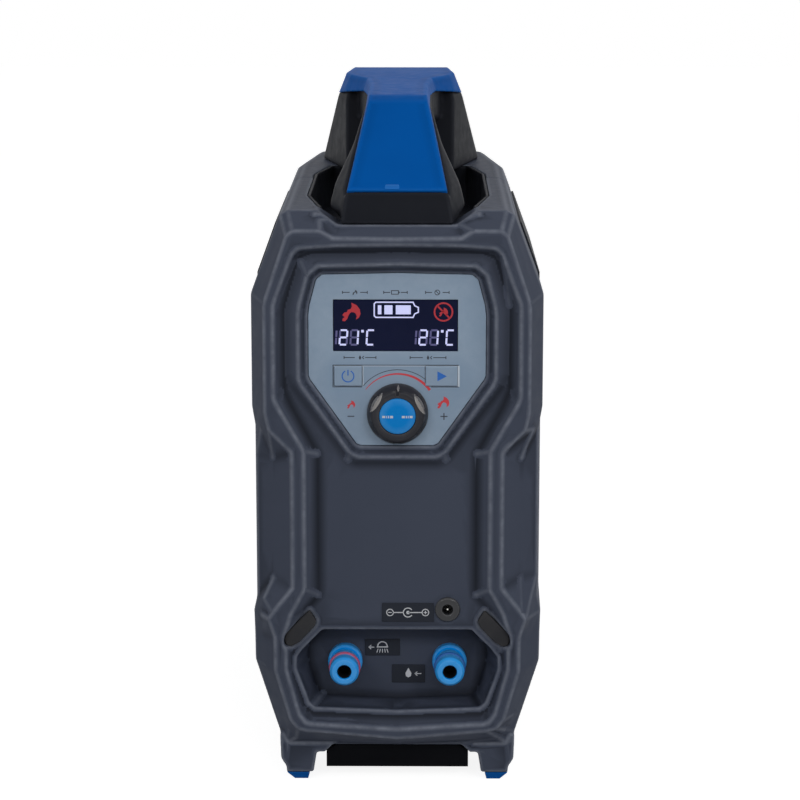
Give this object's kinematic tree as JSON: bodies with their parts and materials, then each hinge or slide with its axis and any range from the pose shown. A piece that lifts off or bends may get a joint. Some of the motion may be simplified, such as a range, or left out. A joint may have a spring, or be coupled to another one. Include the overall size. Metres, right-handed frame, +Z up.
{
  "type": "portable gas water heater",
  "caption": "Upright camping gas water heater with a moulded case, blue carry handle, display panel, gas knob, hose connectors in a front recess and rubber feet.",
  "frame": {"origin": "middle of the bounding box's base, on the surface that the feet stand on", "axes": "+X to the right of someone facing the control panel, +Y from the front to the back, +Z up"},
  "size_m": [0.1824, 0.38, 0.43],
  "materials": {
    "casing_plastic": "finely textured",
    "dark_plastic": "finely textured",
    "plug_plastic": "smooth",
    "painted_steel": "satin black",
    "foot_rubber": "matte",
    "blue_plastic": "satin",
    "panel_plastic": "satin film",
    "display_plastic": "polished",
    "board_plastic": "solder mask",
    "knob_plastic": "semi gloss",
    "blue_gloss": "gloss",
    "bare_steel": "brushed",
    "label_film": "printed film",
    "connector_plastic": "gloss",
    "seal_rubber": "matte",
    "inlet_seal_rubber": "matte",
    "brass": "turned",
    "copper": "drawn",
    "ceramic": "glazed",
    "battery_film": "shrink film"
  },
  "bodies": {
    "case": {"front_casing": "casing_plastic", "rear_casing": "casing_plastic", "left_side_panel": "dark_plastic", "right_side_panel": "dark_plastic", "handle_well": "dark_plastic", "base_pan": "painted_steel", "foot_front_left": "foot_rubber", "foot_front_right": "foot_rubber", "foot_rear_left": "foot_rubber", "foot_rear_right": "foot_rubber", "handle_frame": "dark_plastic", "handle_cover": "blue_plastic", "corner_plug_left": "plug_plastic", "corner_plug_right": "plug_plastic", "control_panel": "panel_plastic", "display_window": "display_plastic", "display_module": "dark_plastic", "control_board": "board_plastic", "jack_housing": "dark_plastic", "jack_pin": "bare_steel", "jack_label_plate": "label_film", "outlet_label_plate": "label_film", "inlet_label_plate": "label_film", "outlet_connector": "connector_plastic", "inlet_connector": "connector_plastic", "outlet_o_ring": "seal_rubber", "inlet_o_ring": "inlet_seal_rubber", "outlet_lock_nut": "brass", "inlet_lock_nut": "brass", "exhaust_grille": "dark_plastic", "service_cover": "casing_plastic", "gas_inlet_fitting": "brass", "chassis": "bare_steel", "combustion_chamber": "bare_steel", "burner": "bare_steel", "heat_exchanger": "copper", "flue_hood": "bare_steel", "igniter": "ceramic", "flame_sensor": "ceramic", "gas_valve": "brass", "battery_pack": "battery_film", "gas_pipe": "copper", "gas_manifold": "copper", "water_out_pipe": "copper", "water_in_pipe": "copper", "flow_sensor": "dark_plastic"},
    "knob": {"knob_body": "knob_plastic", "knob_cap": "blue_gloss", "knob_shaft": "bare_steel"},
    "power_key": {"power_button": "panel_plastic"},
    "start_key": {"start_button": "panel_plastic"}
  },
  "joints": [
    {"name": "knob_turn", "type": "hinge", "parent": "case", "child": "knob", "pos_m": [0.0003, -0.1792, 0.2388], "axis": [0, -1, 0], "range_deg": [-60, 60]},
    {"name": "power_press", "type": "slide", "parent": "case", "child": "power_key", "axis": [0, 1, 0], "range_m": [0, 0.001], "stiffness_N_per_m": 600},
    {"name": "start_press", "type": "slide", "parent": "case", "child": "start_key", "axis": [0, 1, 0], "range_m": [0, 0.001], "stiffness_N_per_m": 600}
  ]
}
